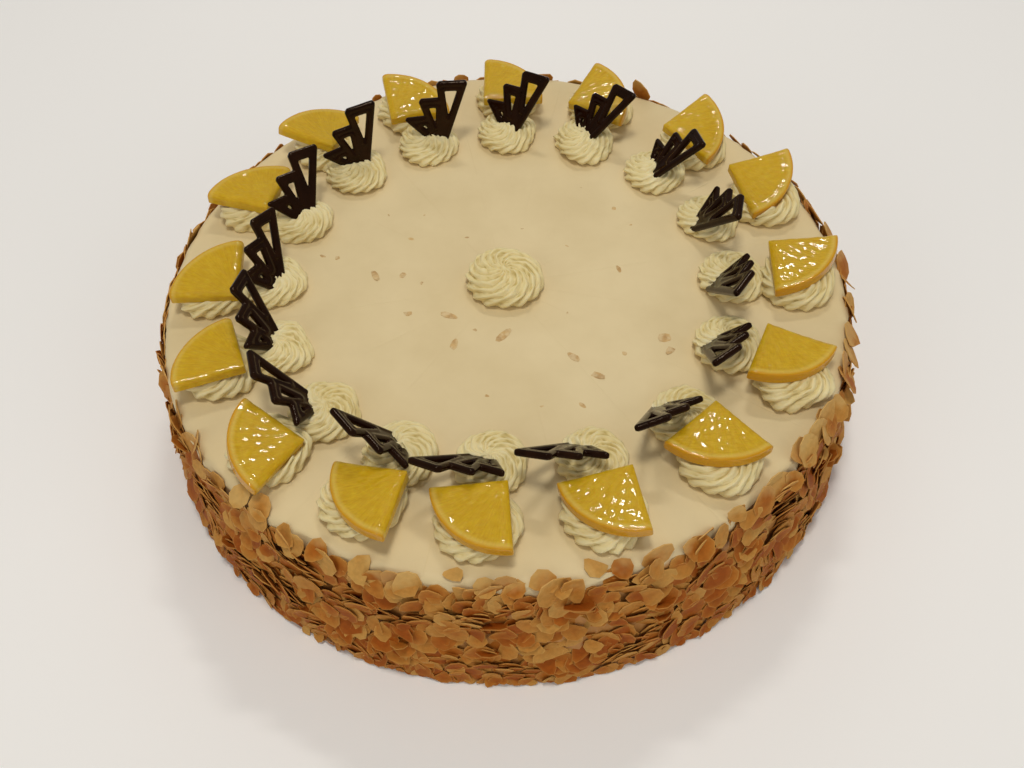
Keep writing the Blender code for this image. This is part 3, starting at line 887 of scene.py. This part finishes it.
def flesh_relief(place, phases):
    """How far the upper side rises or sinks: it falls off softly towards the cuts, the pith stands
    up, and the flesh sags a little and is grainy."""
    reach = math.hypot(place.x, place.y)
    from_cut = max(0, place.y - abs(place.x)) / math.sqrt(2)
    droop = (1 - min(1, from_cut / (2.8 * MM))) ** 2
    pith = min(1, max(0, (reach - LEMON_RADIUS + RIND + PITH + 0.8 * MM) / (1.4 * MM)))
    sag = math.sin(place.x / (6.5 * MM) + phases[0]) + math.sin(place.y / (5.5 * MM) + phases[1])
    grain = noise_value(Vector((place.x / 1.7, place.y / 2.6, phases[2] * MM)) / MM)
    return MM * (0.25 * pith + 0.20 * sag + 0.24 * grain * (1 - 0.6 * pith) - 1.0 * droop)


def all_lemons(material, slices):
    draw = random.Random(31)
    _, _, thickness, _, radius = slices[1]
    quarter = quarter_of_lemon(radius, thickness)
    for number in range(1, PORTIONS + 1):
        corner, middle, _, normal, _ = slices[number]
        slice_ = copy_of(quarter, f"lemon_quarter_{number:02d}")
        marks = slice_.data.attributes
        marks.new("slice", "FLOAT_VECTOR", "POINT")
        marks.new("which", "FLOAT", "POINT")
        phases = [draw.uniform(0, math.tau) for _ in range(3)]
        for index, vertex in enumerate(slice_.data.vertices):
            place = vertex.co
            marks["slice"].data[index].vector = place
            marks["which"].data[index].value = number * 1.7
            place.z += flesh_relief(place, phases) * (0.3 + 0.7 * place.z / thickness)
        right = middle.cross(normal)
        placed(slice_, frame_matrix(right, middle, normal, corner))
        smooth(slice_, 60)
        part_of_cake(slice_, material, "lemon", f"lemon_{number:02d}")
    bpy.data.objects.remove(quarter)


# Chocolate fans


def plate_frame(plate):
    """A frame in the middle of a flat piece, with Z across it."""
    normal = max(plate.data.polygons, key=lambda face: face.area).normal.copy()
    points = [vertex.co for vertex in plate.data.vertices]
    middle = sum(points, Vector()) / len(points)
    along = max((point - middle for point in points), key=lambda offset: offset.length)
    along = (along - normal * along.dot(normal)).normalized()
    return frame_matrix(along, normal.cross(along), normal, middle)


def outline_of(plate):
    """The outline of a flat piece and of its openings: where each straight edge starts and how it runs."""
    mesh = bmesh.new()
    mesh.from_mesh(plate.data)
    starts, runs = [], []
    for edge in mesh.edges:
        slopes = sorted(abs(face.normal.z) for face in edge.link_faces)
        if len(slopes) == 2 and slopes[0] < 0.5 and slopes[1] > 0.9:
            one, other = (vertex.co.to_2d() for vertex in edge.verts)
            starts.append(one[:])
            runs.append((other - one)[:])
    mesh.free()
    return np.array(starts), np.array(runs)


def round_strokes(fan, starts, runs):
    """Makes each bar of a fan as round as a piped stroke, with a seam where two run together."""
    places = np.empty(len(fan.data.vertices) * 3)
    fan.data.vertices.foreach_get("co", places)
    places = places.reshape(-1, 3)
    offsets = places[:, None, :2] - starts
    shares = np.clip((offsets * runs).sum(2) / (runs * runs).sum(1), 0, 1)
    inside = np.linalg.norm(offsets - runs * shares[:, :, None], axis=2).min(1) / HALF_STROKE
    crown = np.sqrt(1 - (1 - np.minimum(1, inside)) ** 2)
    seam = np.clip((inside - 1) / 0.5, 0, 1)
    places[:, 2] *= 0.50 + 0.66 * crown - 0.34 * seam
    fan.data.vertices.foreach_set("co", places.ravel())
    fan.data.update()


def chocolate_fan(number, material):
    """A copy of the solid, its doubles merged, then melted all over as chocolate that was piped."""
    fan = copy_of(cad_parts[f"chocolate_{number:02d}"], f"chocolate_fan_{number:02d}")
    # The copy drops what marks it as a solid of the frame
    for key in list(fan.keys()):
        del fan[key]
    fan.parent = None
    fan.hide_render = False
    matrix = plate_frame(fan)
    placed(fan, matrix.inverted())
    start_editing(fan)
    bpy.ops.mesh.select_all(action="SELECT")
    bpy.ops.mesh.remove_doubles(threshold=0.01 * MM)
    stop_editing()
    starts, runs = outline_of(fan)
    finish_with(fan, "REMESH", mode="VOXEL", voxel_size=0.35 * MM)
    round_strokes(fan, starts, runs)
    finish_with(fan, "SMOOTH", factor=0.5, iterations=10)
    finish_with(fan, "DISPLACE", strength=0.1 * MM, mid_level=0)
    placed(fan, matrix)
    smooth(fan)
    part_of_cake(fan, material, "chocolate", f"chocolate_{number:02d}")


# Almond flakes


def one_flake(name, kind, seed):
    """A thin slice of almond: a ragged oval disc curled along its length, whole or broken off."""
    width, narrowing, curl, broken = kind
    draw = random.Random(seed)
    bpy.ops.mesh.primitive_cylinder_add(
        vertices=FLAKE_CORNERS, radius=1, depth=FLAKE_THICKNESS, end_fill_type="NGON"
    )
    flake = named(name)
    start_editing(flake)
    select_where(flake, "faces", lambda place: place.z > 0.4 * FLAKE_THICKNESS)
    bpy.ops.mesh.inset(thickness=0.42)
    bpy.ops.mesh.poke()
    select_where(flake, "faces", lambda place: place.z < -0.4 * FLAKE_THICKNESS)
    bpy.ops.mesh.poke()
    bpy.ops.mesh.select_all(action="SELECT")
    bpy.ops.mesh.quads_convert_to_tris()
    stop_editing()
    rim = flake.data.attributes.new("rim", "FLOAT", "POINT")
    ragged = [draw.uniform(0.93, 1.05) for _ in range(FLAKE_CORNERS)]
    for index, vertex in enumerate(flake.data.vertices):
        place = vertex.co
        corner = round(math.atan2(place.y, place.x) / (math.tau / FLAKE_CORNERS)) % FLAKE_CORNERS
        across = math.hypot(place.x, place.y)
        rim.data[index].value = across
        share = ragged[corner] if across > 0.2 else 1
        along, beside = place.x * share, place.y * share * width
        if broken < 1 and along > 0:
            along = broken * (1 - (1 - min(1, along)) ** 3) * share
        bend = along * along + 0.4 * along * beside
        place.x = along * FLAKE_REACH
        place.y = beside * (1 - narrowing * along) * FLAKE_REACH
        place.z += curl * bend * MM
    return flake


def rim_flake(draw, turn, out, up, stand):
    """A flake at the rim: how far out and above the cream it sits, and how far it faces upwards."""
    outwards, clockwise = directions(turn)
    centre = outwards * (TOP_RADIUS + draw.uniform(*out) * MM)
    centre += Vector((0, 0, TOP + draw.uniform(*up) * MM))
    normal = outwards + Vector((0, 0, draw.gauss(*stand))) + clockwise * draw.gauss(0, 0.25)
    spin = draw.uniform(0, math.tau)
    size = draw.uniform(0.74, 1.08)
    return centre, normal.normalized(), spin, size, draw.random() * 0.7


def flake_places():
    """Each flake's centre, the way it faces, its spin, its size and its toast. Neighbours lean alike,
    as they were pressed on by the handful, and a few stand on edge."""
    draw = random.Random(11)
    places = []
    for index in range(FLAKES):
        turn = (index * GOLDEN_SHARE) % 1 * math.tau
        height = (SIDE_FROM + draw.random() * SIDE_RISE) * MM
        outwards, clockwise = directions(turn)
        base = FOOT_RADIUS + (TOP_RADIUS - FOOT_RADIUS) * height / TOP
        calm = min(1, 0.25 + height / (16 * MM))
        centre = outwards * (base + draw.uniform(0.1, 2.1 * calm) * MM) + Vector((0, 0, height))
        stand = calm * (0.7 * noise_value(centre / (17 * MM)) + draw.gauss(0.08, 0.12))
        swing = calm * (0.5 * noise_value(centre / (21 * MM) + Vector((5, 5, 5))) + draw.gauss(0, 0.12))
        if draw.random() > 0.98 and calm == 1:
            stand = draw.choice((-1, 1)) * draw.uniform(0.8, 2.0)
        normal = (outwards + Vector((0, 0, stand)) + clockwise * swing).normalized()
        toast = min(1, draw.random() + 0.25 * (1 - height / TOP))
        places.append((centre, normal, draw.uniform(0, math.tau), draw.uniform(0.58, 1.04), toast))
    for index in range(FOOT_FLAKES):
        turn = (index + draw.uniform(-0.4, 0.4)) / FOOT_FLAKES * math.tau
        outwards, clockwise = directions(turn)
        centre = outwards * (FOOT_RADIUS + draw.uniform(0.3, 1.4) * MM)
        centre += Vector((0, 0, draw.uniform(0.5, 4.5) * MM))
        normal = outwards + Vector((0, 0, draw.gauss(0.15, 0.2))) + clockwise * draw.gauss(0, 0.2)
        normal.normalize()
        places.append((centre, normal, draw.uniform(0, math.tau), draw.uniform(0.34, 0.62), draw.random()))
    for index in range(RIM_FLAKES):
        turn = (index + draw.uniform(-0.45, 0.45)) / RIM_FLAKES * math.tau
        right = max(0, math.sin(turn))
        low = -5.4 + 1.4 * math.cos(turn - math.pi) + 2.4 * right
        out = (0.9 + 0.8 * right, 2.0 + 1.6 * right)
        places.append(rim_flake(draw, turn, out, (low - 1.5, low + 1.5), (0.25 + 0.5 * right, 0.15)))
    for index in range(STANDING_FLAKES):
        turn = math.pi + (draw.uniform(-2.0, 2.0) if index % 4 == 0 else draw.uniform(-1.1, 1.1))
        places.append(rim_flake(draw, turn, (-1.0, 1.6), (-2.5, 1.6), (0.3, 0.4)))
    for turn, out, up, stand, size, toast in CHOSEN_FLAKES:
        outwards, clockwise = directions(math.pi + turn)
        centre = outwards * (TOP_RADIUS + out * MM) + Vector((0, 0, TOP + up * MM))
        normal = (outwards + Vector((0, 0, stand)) + clockwise * draw.uniform(-0.2, 0.2)).normalized()
        places.append((centre, normal, draw.uniform(0, math.tau), size, toast))
    return places


def joined_flakes(name, kinds, seed, places):
    """One mesh with a flake of one of the kinds at each place."""
    corners, faces, rims = [], [], []
    for step, kind in enumerate(kinds):
        shape = one_flake(f"{name}_{step}", kind, seed + step)
        points = np.empty(len(shape.data.vertices) * 3)
        shape.data.vertices.foreach_get("co", points)
        corners.append(points.reshape(-1, 3))
        faces.append(np.array([face.vertices[:] for face in shape.data.polygons]))
        rim = np.empty(len(shape.data.vertices))
        shape.data.attributes["rim"].data.foreach_get("value", rim)
        rims.append(rim)
        bpy.data.objects.remove(shape)
    all_points, all_faces, all_rims, toasts = [], [], [], []
    count = 0
    for index, (centre, normal, spin, size, toast) in enumerate(places):
        kind = index % len(kinds)
        turn = normal.to_track_quat("Z", "Y").to_matrix() @ Matrix.Rotation(spin, 3, "Z")
        points = (corners[kind] * size) @ np.array(turn).T + np.array(centre)
        points[:, 2] += max(0, FLAKE_LOWEST - points[:, 2].min())
        all_points.append(points)
        all_faces.append(faces[kind] + count)
        all_rims.append(rims[kind])
        toasts.append(np.full(len(points), toast))
        count += len(points)
    mesh = bpy.data.meshes.new(name)
    mesh.from_pydata(np.concatenate(all_points).tolist(), [], np.concatenate(all_faces).tolist())
    for label, values in (("toast", toasts), ("rim", all_rims)):
        mesh.attributes.new(label, "FLOAT", "POINT").data.foreach_set("value", np.concatenate(values))
    thing = bpy.data.objects.new(name, mesh)
    bpy.context.scene.collection.objects.link(thing)
    smooth(thing, 35)
    return thing


def almond_coat(material):
    """The flakes on the side, which with the coat take the place of the solid cake."""
    flakes = joined_flakes("almond_flakes", FLAKE_KINDS, 3, flake_places())
    part_of_cake(flakes, material, "almond", "cake")


def bits_on_top(material, coat):
    """Bits of almond lying nearly flat on the cream."""
    draw = random.Random(19)
    places = []
    bpy.context.view_layer.update()
    for right, back, size in TOP_BITS:
        tilt = Vector((draw.uniform(-0.06, 0.06), draw.uniform(-0.06, 0.06), 1)).normalized()
        _, centre, _, _ = coat.ray_cast(Vector((right * MM, back * MM, TOP + 5 * MM)), Vector((0, 0, -1)))
        centre.z -= 0.02 * MM
        places.append((centre, tilt, draw.uniform(0, math.tau), size / BIT_LENGTH, draw.uniform(0.1, 0.5)))
    part_of_cake(joined_flakes("almond_bits", BIT_KINDS, 40, places), material, "almond")


# Studio


def area_light(name, place, size, power, colour, glossy=True):
    """A lamp that faces the cake, as wide and deep as its size tells, mirrored in it or not."""
    bpy.ops.object.light_add(type="AREA", location=place)
    light = bpy.context.object
    light.name = name
    light.data.shape = "RECTANGLE"
    light.data.size, light.data.size_y = size
    light.data.energy = power
    light.data.color = colour
    light.visible_glossy = glossy
    facing = Vector((0, 0, 0.04)) - Vector(place)
    light.rotation_euler = facing.to_track_quat("-Z", "Y").to_euler()


def studio():
    """A plain pale floor, two lamps that the jelly mirrors and three soft lights that it doesn't."""
    bpy.ops.mesh.primitive_plane_add(size=6, location=(0, 0, 0))
    floor = named("floor")
    material, tree, shader = material_named("pale_floor")
    shader.inputs["Base Color"].default_value = (0.97, 0.965, 0.96, 1)
    shader.inputs["Roughness"].default_value = 0.7
    floor.data.materials.append(material)
    area_light("lamp_overhead", (-0.05, -0.22, 1.3), (0.20, 0.20), 5.1, (1.0, 0.96, 0.88))
    area_light("lamp_behind", (0.12, 0.75, 1.3), (0.26, 0.06), 3.0, (1.0, 0.97, 0.90))
    soft = (("left", (-1.3, -1.2, 0.9), 6.5), ("right", (1.3, -1.2, 0.9), 6.5), ("back", (0, 1.6, 0.9), 5))
    for side, place, power in soft:
        area_light(f"soft_{side}", place, (1.4, 1.4), power, (1.0, 0.96, 0.90), glossy=False)
    world = bpy.data.worlds.new("studio")
    bpy.context.scene.world = world
    world.use_nodes = True
    background = world.node_tree.nodes["Background"]
    background.inputs["Color"].default_value = (1.0, 0.97, 0.93, 1)
    background.inputs["Strength"].default_value = 0.24
    bpy.context.scene.view_settings.view_transform = "Standard"


def camera_at_the_photo():
    """The camera's place, read from the rings of rosettes and the edge of the top."""
    elevation = math.radians(51.73)
    roll = -0.0337
    distance = 3.0751 * TOP_RADIUS
    target = Vector((0.0118 * TOP_RADIUS, -0.3805 * TOP_RADIUS, TOP))
    back = Vector((0, -math.cos(elevation), math.sin(elevation)))
    right = Vector((1, 0, 0))
    up = right.cross(-back)
    turned_right = right * math.cos(roll) + up * math.sin(roll)
    turned_up = up * math.cos(roll) - right * math.sin(roll)
    lens = bpy.data.cameras.new("camera")
    lens.sensor_width = 36
    lens.lens = 39.14
    lens.clip_start = 0.01
    camera = bpy.data.objects.new("camera", lens)
    bpy.context.scene.collection.objects.link(camera)
    camera.matrix_world = frame_matrix(turned_right, turned_up, back, target + back * distance)
    bpy.context.scene.camera = camera


slices = {number: slice_frame(number) for number in range(1, PORTIONS + 1)}
LEMON_RADIUS = slices[1][4]
coat = cake_coat(cream_coat())
all_rosettes(piped_cream(), slices)
all_lemons(lemon_slice(), slices)
chocolate = dark_chocolate()
for number in range(1, PORTIONS + 1):
    chocolate_fan(number, chocolate)
almond_coat(toasted_almond())
bits_on_top(almond_in_cream(), coat)
studio()
camera_at_the_photo()
